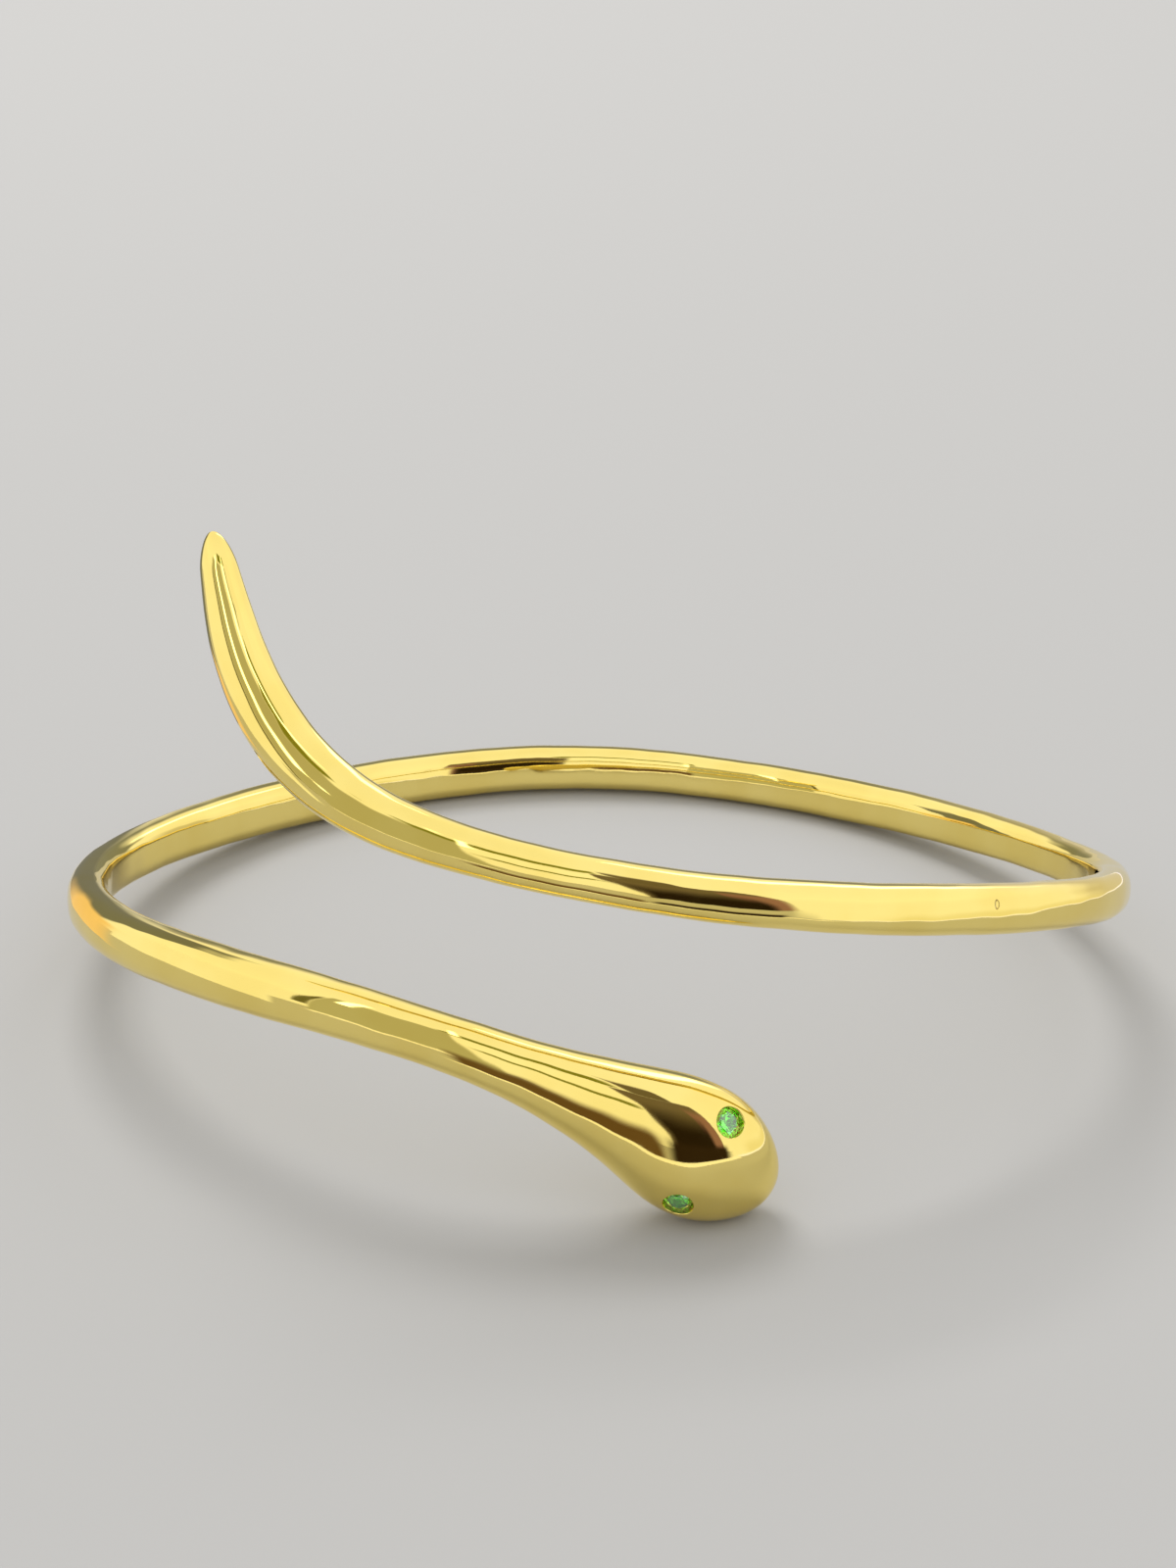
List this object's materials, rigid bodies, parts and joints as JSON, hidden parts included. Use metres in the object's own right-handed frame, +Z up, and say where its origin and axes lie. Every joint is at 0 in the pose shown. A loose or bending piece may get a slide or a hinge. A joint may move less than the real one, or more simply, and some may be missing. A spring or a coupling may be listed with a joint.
{
  "type": "snake bangle",
  "caption": "Open oval bangle shaped as a smooth snake that passes its own beginning, with a rounded head, flush-set green eye stones and a raised pointed tail.",
  "frame": {"origin": "centre of the bangle's box in plan, on the surface that it lies on", "axes": "+X to the side that the snake's nose points to, +Y from the head and tail to the back of the loop, +Z up, with the loop leaning 12 degrees so that its front is raised"},
  "size_m": [0.062, 0.052, 0.0324],
  "materials": {
    "gold": "polished yellow gold",
    "green_stone": "clear, faceted and polished"
  },
  "bodies": {
    "root": {"bangle": "gold", "eye_stone_upper": "green_stone", "eye_stone_lower": "green_stone"}
  },
  "joints": []
}
